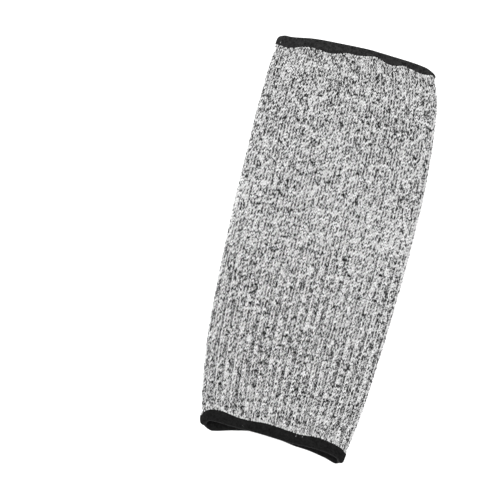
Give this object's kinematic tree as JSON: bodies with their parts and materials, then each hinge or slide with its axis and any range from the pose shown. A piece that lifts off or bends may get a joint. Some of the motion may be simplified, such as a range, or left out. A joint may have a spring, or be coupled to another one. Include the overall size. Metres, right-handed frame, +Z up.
{
  "type": "cut resistant forearm sleeve",
  "caption": "Forearm sleeve laid flat: a slightly barrel shaped rib knitted tube, open at both ends, with a folded black binding round each rim.",
  "frame": {"origin": "on the surface it lies on, under the middle of its box", "axes": "+Z up from the surface, +Y along the sleeve towards its upper end, +X across it"},
  "size_m": [0.115, 0.2562, 0.0127],
  "materials": {
    "grey_knit": "salt-and-pepper melange yarn in a mock rib knit, matt",
    "black_tape": "black knitted binding tape with fine crosswise ribs, matt"
  },
  "bodies": {
    "root": {"knit_sleeve": "grey_knit", "lower_binding": "black_tape", "upper_binding": "black_tape"}
  },
  "joints": []
}
